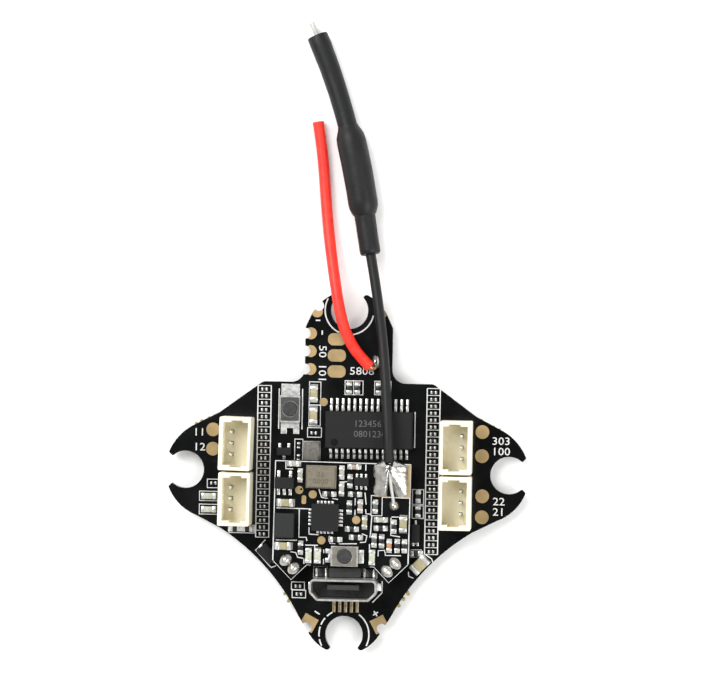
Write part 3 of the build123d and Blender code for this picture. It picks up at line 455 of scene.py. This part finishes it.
line_paths += [
    [(-4.32, 7.42), (-3.05, 7.42)], [(0.6, 8.65), (0.6, 10.2)],
    [(-7.68, 9.2), (-7.68, 4.7)], [(-5.08, 9.2), (-5.08, 4.7)],
    [(7.5, 2.85), (7.5, 6.85)], [(-8.94, -7.68), (-10.02, -8.86), (-8.3, -10.7)],
    [(-8.3, -10.75), (-7.8, -10.6), (-7.5, -10.2)],
    [(8.9, -8.95), (9.6, -9.4), (9.75, -9.8)], [(7.05, -10.9), (7.1, -11.4), (7.6, -11.6)],
    [(4.15, -12.0), (4.15, -13.3), (3.1, -14.4)], [(-1.9, -10.6), (-1.9, -11.5)], [(1.9, -10.6), (1.9, -11.5)],
]
print_lines("main_board_print_thin", thin_paths, board_top, 0.09)
print_lines("main_board_print", line_paths, board_top)
notch = 18.03
ring_paths = [arc_path(0, notch, 2.72, 152, 246), arc_path(0, notch, 2.72, 272, 348)]
front_dashes = ((118, 134), (140, 158), (163, 186), (192, 208))
ring_paths += [arc_path(0, -notch, 2.78, start, end) for start, end in front_dashes]
ring_paths.append(arc_path(0, -notch, 2.78, -26, 54))
ring_paths += [
    [(-3.75, 16.85), (-3.25, 16.85)], [(-3.0, 15.75), (-3.0, 15.25)], [(-3.3, -15.5), (-2.75, -15.85)],
    [(3.2, -15.8), (3.75, -15.45)], [(3.3, -15.35), (3.65, -15.9)], [(7.5, -7.75), (8.1, -7.75)],
]
print_lines("main_board_print_rings", ring_paths, board_top, 0.16)


def ink_number(name, figures, x, y, height, top, turn=0.0, material=None, squeeze=1.0):
    """Printed figures as a flat mesh, centred at a place in mm."""
    data = bpy.data.curves.new(name, "FONT")
    data.body = figures
    data.size = height / 0.7 * mm
    data.align_x = "CENTER"
    data.align_y = "CENTER"
    data.resolution_u = 2
    data.extrude = ink_height / 2
    place = Matrix.Translation((x * mm, y * mm, top + ink_height / 2)) @ Matrix.Rotation(radians(turn), 4, "Z")
    return lay_print(name, data, place @ Matrix.Diagonal((squeeze, 1, 1, 1)), material)


pad_numbers = [
    ("11", -16.55, 4.15, 0), ("12", -16.5, 2.5, 0), ("303", 17.1, 3.75, 0), ("100", 17.1, 2.6, 0),
    ("22", 16.95, -2.95, 0), ("21", 16.95, -4.1, 0), ("5808", 1.5, 11.25, 0), ("50", -2.95, 13.4, -90),
    ("101", -2.95, 11.0, -90),
]
for i, (figures, x, y, turn) in enumerate(pad_numbers):
    ink_number(f"pad_number_{i}", figures, x, y, 0.85, board_top, turn, squeeze=1.15)

# ---------------------------------------------------------------- motor sockets
# Upright three-pin sockets moulded in ivory nylon, each with tinned square pins pressed through.
# Glass-filled nylon: warm white, slightly translucent, with a fine moulded texture.
ivory_nylon = make_finish(
    "ivory_nylon", "#e3dcc3", "#e8e2cc", 0.5, 0.05, 0.5, 0.004, Subsurface_Weight=0.12, Subsurface_Scale=0.0008
)
for end in ("rear", "front"):
    for side in ("left", "right"):
        finished_copy(f"motor_connector_{end}_{side}", 0.07, ivory_nylon)

# Tin: silver-white, soft-edged, with small lumps where it has been reflowed.
reflowed_tin = make_finish("reflowed_tin", "#d8d8d4", "#efefeb", 0.3, 0.05, 0.5, 0.004, Metallic=0.75)
finished_copy("motor_connector_pins", 0.08, reflowed_tin)

# ---------------------------------------------------------------- display chip and small chips
# Moulded epoxy packages on tinned leads bent like a gull's wing, reflowed onto their pads.
# Moulding compound: dark warm grey, matte, with a very fine spark-eroded grain.
moulded_epoxy = make_finish(
    "moulded_epoxy", "#0f0f10", "#171718", 0.62, 0.05, 0.12, 0.004, Specular_IOR_Level=0.25
)
finished_copy("display_chip", 0.05, moulded_epoxy)
finished_copy("main_small_chips", 0.04, moulded_epoxy)
finished_copy("main_chip_leads", 0.03, reflowed_tin)
# Laser marking turns the epoxy's skin a paler grey.
laser_grey = make_finish("laser_marked_epoxy", "#4b4b4c", "#5a5a5b", 0.7, 0.05, 0.1)
# The oscillator's mark is brown ink on its lid.
lid_print = make_finish("dark_lid_print", "#4f473a", "#5c5344", 0.6, 0.05, 0.1)
chip_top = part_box("display_chip")[1].z
# The moulded dimple by the first lead is polished, and its near-black floor is painted shade in the recess.
dimple_shadow = make_finish("polished_dimple_painted_shade", "#030303", "#050505", 0.4, 0.05, 0.2, Specular_IOR_Level=0.2)
dimple_radius = 0.38 * mm
dimple_place = Matrix.Translation((-1.38 * mm, 3.34 * mm, chip_top - 0.07 * mm))
dimple_bm = bmesh.new()
bmesh.ops.create_cone(
    dimple_bm, cap_ends=True, segments=48, radius1=dimple_radius, radius2=dimple_radius, depth=0.02 * mm,
    matrix=dimple_place,
)
new_piece("display_chip_dimple", dimple_bm, dimple_shadow)
ink_number("display_chip_marks_1", "1234567", 2.55, 5.45, 0.72, chip_top, 0, laser_grey)
ink_number("oscillator_marks_1", "26", -2.7, -0.2, 0.6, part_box("oscillator")[1].z, 0, lid_print)
ink_number("oscillator_marks_2", "0000", -2.7, -0.95, 0.6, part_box("oscillator")[1].z, 0, lid_print)
ink_number("display_chip_marks_2", "0801234", 2.55, 4.3, 0.72, chip_top, 0, laser_grey)

# ---------------------------------------------------------------- resistors, capacitors and lamps
# Ceramic chips a millimetre or less long, placed by machine, with a tin cap on each end.
# Resistors show black glaze, capacitors bare fired ceramic, and lamps a milky resin.
resistor_glaze = make_finish("black_resistor_glaze", "#141415", "#232325", 0.35, 0.05, 0.2)
fired_ceramic = make_finish("tan_fired_ceramic", "#8f8768", "#a59c7c", 0.5, 0.06, 0.2, 0.003)
lamp_resin = make_finish(
    "milky_lamp_resin", "#a9ad9c", "#bcbfb0", 0.35, 0.05, 0.3, 0.002,
    Subsurface_Weight=0.3, Subsurface_Scale=0.0004,
)
finished_copy("main_resistors", 0.03, resistor_glaze)
finished_copy("main_capacitors", 0.06, fired_ceramic)
finished_copy("status_leds", 0.04, lamp_resin)
finished_copy("main_chip_ends", 0.05, reflowed_tin)
finished_copy("transmitter_resistors", 0.03, resistor_glaze)
finished_copy("channel_leds", 0.04, lamp_resin)
finished_copy("transmitter_chip_ends", 0.05, reflowed_tin)

# Each value of capacitor is fired from its own ceramic, so the bodies differ a little in colour.
ceramic_tints = [
    ("pale_fired_ceramic", "#8f8f84", "#a3a396"),
    ("olive_fired_ceramic", "#8a8464", "#9c9674"),
    ("pink_fired_ceramic", "#8c7c70", "#9a897c"),
    ("grey_fired_ceramic", "#4c504a", "#5a5e57"),
    ("orange_fired_ceramic", "#a0704a", "#b08058"),
]
tinted = [make_finish(name, a, b, 0.45, 0.06, 0.2, 0.003) for name, a, b in ceramic_tints]
tint_places = [
    (-5.43, 5.41, 0), (-4.71, 4.15, 0), (-6.24, 1.09, 1), (-6.34, -3.7, 1), (1.26, 5.28, 2), (3.71, 0.95, 3),
    (6.85, -0.88, 1), (2.57, -0.83, 1), (3.68, -2.8, 3), (-0.1, 4.61, 0), (-0.08, 2.75, 0), (2.04, 0.94, 2),
    (4.36, -0.48, 0), (5.36, -3.33, 4),
]
stack_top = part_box("transmitter_board")[1].z
stack_turn = radians(-0.65)  # it is soldered on slightly askew
stack_place = Matrix.Translation((-0.35 * mm, -4.55 * mm, 0)) @ Matrix.Rotation(stack_turn, 4, "Z")
capacitors = finished_copy("transmitter_capacitors", 0.05, tinted)
for face in capacitors.data.polygons:
    local = stack_place.inverted() @ face.center
    nearest = min(tint_places, key=lambda spot: (local.x / mm - spot[0]) ** 2 + (local.y / mm - spot[1]) ** 2)
    face.material_index = nearest[2]

# ---------------------------------------------------------------- crystal and oscillator
# Quartz sealed in small ceramic boats under a welded, lightly brushed metal lid.
# Nickel lid: pale warm grey with soft reflections.
nickel_lid = make_finish("nickel_lid", "#6a6762", "#7d7a74", 0.42, 0.06, 0.3, 0.004, Metallic=0.7)
# Gilded lid: the same metal with a thin, dull yellow flash.
gilded_lid = make_finish("gilded_lid", "#6c6556", "#7a7262", 0.45, 0.06, 0.3, 0.004, Metallic=0.3)
finished_copy("crystal", 0.08, nickel_lid)
finished_copy("oscillator", 0.1, gilded_lid)

# ---------------------------------------------------------------- USB socket
# A deep-drawn steel shell stands on end round a black plastic tongue with five plated contacts.
# Nickel-plated steel: bright satin, faint drawing lines.
plated_steel = make_finish("nickel_plated_steel", "#c8c8c4", "#dcdcd8", 0.32, 0.05, 0.6, 0.004, Metallic=0.8)
# Liquid crystal polymer: very dark grey, satin, smoother than moulded epoxy.
black_lcp = make_finish("black_liquid_crystal_polymer", "#1c1c1d", "#272728", 0.5, 0.05, 0.3, 0.004)
finished_copy("usb_shell", 0.05, plated_steel)
finished_copy("usb_insulator", 0.06, black_lcp)
# Contacts: a thin gold flash over nickel, greyed by wear.
worn_gold = make_finish("thin_gold_flash", "#8f7f62", "#b3a48a", 0.35, 0.08, 0.3, 0.006, Metallic=0.8)
finished_copy("usb_contacts", 0.03, worn_gold)

# ---------------------------------------------------------------- push switches
# A moulded base holds a snap dome and a hard plastic plunger under a stamped steel cover.
# Each plunger rides on a body of its own; on the switch it travels a fifth of a millimetre and flattens its dome.
# Phenolic: hard near-black plastic with a slight sheen.
plunger_black = make_finish("black_phenolic", "#232324", "#303031", 0.42, 0.05, 0.3, 0.004)
# A thin dark sheet laid over one switch's steel cover, holed for the plunger, is painted dark reflection on the
# steel.
dark_reflection_sheet = make_finish("dark_polyimide_film", "#353534", "#434342", 0.4, 0.05, 0.6, 0.004)
# The other switch's sheet is painted pale beige-grey reflection on the same steel.
pale_reflection_sheet = make_finish("amber_polyimide_film", "#67635a", "#757167", 0.4, 0.05, 0.6, 0.004)
reflection_sheets = {"boot_switch": dark_reflection_sheet, "channel_switch": pale_reflection_sheet}
sheet_hole_radius = 0.9 * mm
sheet_thickness = 0.02 * mm
sheet_lift = 0.015 * mm
for switch, button in (("boot_switch", "boot_button"), ("channel_switch", "channel_button")):
    finished_copy(f"{switch}_base", 0.04, black_lcp)
    finished_copy(f"{switch}_cover", 0.02, plated_steel)
    finished_copy(f"{switch}_terminals", 0.03, reflowed_tin)
    finished_copy(f"{switch}_plunger", 0.03, plunger_black, body=button, smooth=50)
    paint_node(f"{switch}_dome", plated_steel)
    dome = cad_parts[f"{switch}_dome"]
    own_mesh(dome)
    low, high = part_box(f"{switch}_cover")
    middle = (low + high) / 2
    half = (high - low) / 2
    # The painted reflection sheet stops further from the cover's short sides than from its long ones.
    rim_x, rim_y = (0.2, 0.08) if half.x > half.y else (0.08, 0.2)
    sheet_bm = bmesh.new()
    bmesh.ops.create_circle(sheet_bm, segments=64, radius=sheet_hole_radius)
    outer = bmesh.ops.extrude_edge_only(sheet_bm, edges=sheet_bm.edges[:])["geom"]
    for vert in (v for v in outer if isinstance(v, bmesh.types.BMVert)):
        reach_x = (half.x - rim_x * mm) / max(1e-9, abs(vert.co.x))
        reach_y = (half.y - rim_y * mm) / max(1e-9, abs(vert.co.y))
        vert.co *= min(reach_x, reach_y)
    bmesh.ops.translate(sheet_bm, verts=sheet_bm.verts, vec=(middle.x, middle.y, high.z + sheet_lift))
    bmesh.ops.solidify(sheet_bm, geom=sheet_bm.faces, thickness=sheet_thickness)
    # Each sheet is painted reflection on its steel cover: dark on one switch, pale on the other.
    new_piece(f"{switch}_film", sheet_bm, reflection_sheets[switch])

# ---------------------------------------------------------------- transmitter board
# A smaller glossy black board soldered on four pins, with its own chips, lamps and push switch.
# Its mask is a touch lighter and shinier than the main board's.
stack_mask = make_finish(
    "black_stack_mask", "#070808", "#0d0f0f", 0.2, 0.04, 2.5, 0.01, Specular_IOR_Level=0.35
)
paint_node("transmitter_board", stack_mask)
paint_node("link_headers", black_lcp)
finished_copy("link_pins", 0.06, reflowed_tin)
finished_copy("rf_chip", 0.04, moulded_epoxy)
finished_copy("transmitter_regulators", 0.04, moulded_epoxy)
finished_copy("transmitter_chip_leads", 0.02, reflowed_tin)
# Pressed iron powder: flat dark grey with a sandy grain.
pressed_ferrite = make_finish(
    "pressed_ferrite", "#191a1a", "#242525", 0.65, 0.06, 0.15, 0.01, Specular_IOR_Level=0.3
)
finished_copy("power_inductor", 0.1, pressed_ferrite)

# ---------------------------------------------------------------- hand-made solder joints
# The antenna's braid is drowned in one large joint, and its core has a small one of its own. The
# four pins between the boards and the red wire are soldered the same way.
# Hand-laid solder: bright, wet-looking, sloping up to the cable in concave skirts.
hand_solder = make_finish("hand_laid_solder", "#a3a19a", "#d0cec8", 0.2, 0.08, 0.9, 0.07, Metallic=1.0)


def solder_tent(name, outline, peak, height, base, material, crown=0.12, sharpness=1.25):
    """Solder that slopes from an outline on its pad up to a peak. Only base is in metres.

    crown draws the slope in towards the peak, and sharpness makes it more hollow.
    """
    bm = bmesh.new()
    bmesh.ops.create_uvsphere(bm, u_segments=72, v_segments=24, radius=1.0)
    centre = Vector(peak)
    rays = sorted((atan2(y - centre.y, x - centre.x), x, y) for x, y in outline)
    rays = [(rays[-1][0] - 2 * pi, *rays[-1][1:])] + rays + [(rays[0][0] + 2 * pi, *rays[0][1:])]
    for vert in bm.verts:
        angle = atan2(vert.co.y, vert.co.x)
        for (a0, x0, y0), (a1, x1, y1) in zip(rays, rays[1:]):
            if a0 <= angle <= a1:
                share = (angle - a0) / (a1 - a0)
                share = share * share * (3 - 2 * share) * 0.5 + share * 0.5
                rim = Vector((x0 + (x1 - x0) * share, y0 + (y1 - y0) * share))
                break
        out = sqrt(vert.co.x ** 2 + vert.co.y ** 2)
        if vert.co.z < 0:
            spot = centre + (rim - centre) * out
            vert.co = Vector((spot.x * mm, spot.y * mm, base))
        else:
            spot = rim * out ** (1 - crown) + Vector(peak) * (1 - out ** (1 - crown))
            skirt = 0.22 * max(0.0, 1 - out ** 8)
            rise = 0.78 * max(0.0, 1 - out) ** sharpness
            vert.co = Vector((spot.x * mm, spot.y * mm, base + height * mm * (skirt + rise)))
    bmesh.ops.remove_doubles(bm, verts=bm.verts, dist=0.004 * mm)
    for _ in range(2):
        bmesh.ops.smooth_vert(bm, verts=bm.verts, factor=0.5, use_axis_x=False, use_axis_y=False, use_axis_z=True)
    return new_piece(name, bm, material, smooth=80)


pad_cover = 0.045 * mm  # solder starts just above the gold of a pad
solder_base = stack_top + pad_cover
braid_outline = [
    (3.12, 0.95), (3.05, 0.0), (3.08, -1.0), (3.15, -2.1), (3.5, -2.5), (4.2, -2.52), (4.58, -2.45), (4.7, -1.6),
    (4.8, -1.1), (5.1, -1.05), (5.4, -1.7), (5.62, -2.5), (6.3, -2.52), (6.85, -2.45), (6.98, -1.4), (6.95, -0.2),
    (6.95, 0.9), (6.3, 1.2), (5.6, 1.42), (5.15, 1.75), (4.8, 1.9), (4.45, 1.75), (3.9, 1.38), (3.45, 1.14),
]
braid_solder = solder_tent(
    "antenna_solder_ground", braid_outline, (4.8, 0.75), 1.25, solder_base, hand_solder, crown=0.2, sharpness=1.6
)
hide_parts("antenna_solder")
core_outline = [(5.42 + 0.58 * cos(a * pi / 8), -3.51 + 0.58 * sin(a * pi / 8)) for a in range(16)]
core_solder = solder_tent("antenna_solder_core", core_outline, (5.4, -3.5), 0.6, solder_base, hand_solder, 0.4)
# Each pin between the boards ends in a mound of the same solder.
link_x, link_y = 5.62, -5.72
link_step = 0.449
link_spots = [
    (side * (link_x + way * link_step), link_y + way * link_step, side * 45)
    for side in (-1, 1)
    for way in (-1, 1)
]
for index, (x, y, turn) in enumerate(link_spots):
    spot = stack_place @ Vector((x * mm, y * mm, 0)) / mm
    slant = radians(turn)
    outline = []
    for step in range(16):
        along_x, along_y = 0.62 * cos(step * pi / 8), 0.78 * sin(step * pi / 8)
        turned_x = along_x * cos(slant) - along_y * sin(slant)
        turned_y = along_x * sin(slant) + along_y * cos(slant)
        outline.append((spot.x + turned_x, spot.y + turned_y))
    mound = solder_tent(f"link_solder_{index + 1}", outline, (spot.x, spot.y), 0.5, solder_base, hand_solder, 0.4)
    if index == 0:
        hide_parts("link_solder")
wire_outline = [(3.02 + 0.5 * cos(a * pi / 8), 12.3 + 0.8 * sin(a * pi / 8)) for a in range(16)]
wire_base = board_top + pad_cover
wire_solder = solder_tent("receiver_wire_solder", wire_outline, (3.0, 12.25), 0.66, wire_base, hand_solder, 0.4)
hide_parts("receiver_wire_solder")

# ---------------------------------------------------------------- printing on the transmitter board
# The same white ink, printed finer: corner marks and frames between the parts, a border along
# three sides, and thin lines round the feet that carry the pins.
stack_lines = [
    [(-6.63, 1.12), (-6.63, 0.36), (-5.82, 0.36)],
    [(-7.59, -3.99), (-3.74, -4.04)],
    [(-5.06, -4.1), (-5.06, -7.19), (-4.25, -7.19), (-4.15, -7.59)],
    [(-3.94, -6.07), (-3.94, -6.83), (-2.88, -6.88)],
    [(-7.59, -7.54), (-5.26, -7.54)],
    [(-5.97, -8.81), (-5.36, -8.91), (-5.16, -9.41), (-4.55, -9.52)],
    [(-4.35, -8.05), (-2.93, -8.05)],
    [(-3.29, -8.05), (-3.29, -10.02)],
    [(-4.45, -9.52), (-4.45, -10.12)],
    [(-2.27, -8.5), (-2.27, -8.91)],
    [(-2.27, -9.52), (-2.27, -10.12)],
    [(-2.93, -1.82), (-2.63, -2.73), (-1.92, -2.83)],
    [(-1.41, -2.83), (-0.8, -2.93)],
    [(-0.65, -1.0), (0.21, -0.95)],
    [(-1.66, -6.98), (-1.61, -7.79), (-1.01, -7.84)],
    [(-0.6, -7.84), (1.38, -7.79)],
    [(1.73, -7.64), (2.34, -7.59), (2.49, -6.88), (1.93, -6.68)],
    [(2.24, 1.02), (2.24, 0.31)],
    [(2.19, -2.12), (2.34, -3.44)],
    [(2.29, -3.94), (2.34, -4.45), (2.9, -4.5)],
    [(2.9, -2.42), (4.11, -2.42), (4.11, -4.65), (2.9, -4.65), (2.9, -2.42)],
    [(4.16, -2.58), (7.1, -2.63)],
    [(3.0, -4.65), (2.84, -7.08)],
    [(5.12, -4.85), (5.12, -6.78), (6.14, -6.93)],
    [(5.18, -4.75), (5.99, -4.75)],
    [(2.79, -7.79), (2.79, -8.5)],
    [(3.76, -9.11), (3.76, -8.5), (4.47, -8.45), (4.57, -9.01), (6.29, -9.01)],
    [(1.12, -2.73), (1.12, -3.54)],
    [(1.12, -4.04), (1.12, -4.65)],
]
print_lines("transmitter_board_print", stack_lines, stack_top, 0.12)
border_corners = [(-7.5, -5.3), (-7.5, 5.7), (7.5, 5.7), (7.5, -5.3)]
border = [stack_place @ Vector((x * mm, y * mm, 0)) / mm for x, y in border_corners]
print_lines("transmitter_board_border", [[(spot.x, spot.y) for spot in border]], stack_top, 0.14)
foot_lines = []
for side in (-1, 1):
    corners = ((side * 7.5, -5.35), (side * 5.42, -7.43), (side * 3.72, -5.73), (side * 3.3, -5.73))
    spots = [stack_place @ Vector((x * mm, y * mm, 0)) / mm for x, y in corners]
    foot_lines.append([(spot.x, spot.y) for spot in spots])
print_lines("transmitter_board_feet", foot_lines, stack_top, 0.07)

# ---------------------------------------------------------------- underside
# The power side: rows of motor transistors with their drivers, the processor, the motion sensor,
# the radio and the memory, all moulded epoxy on tinned lands.
for node in ("motor_mosfets", "motor_drivers", "flight_processor", "gyro_sensor", "underside_chips"):
    finished_copy(node, 0.05, moulded_epoxy)
finished_copy("underside_leads", 0.02, reflowed_tin)
finished_copy("underside_capacitors", 0.05, fired_ceramic)
finished_copy("underside_chip_ends", 0.05, reflowed_tin)
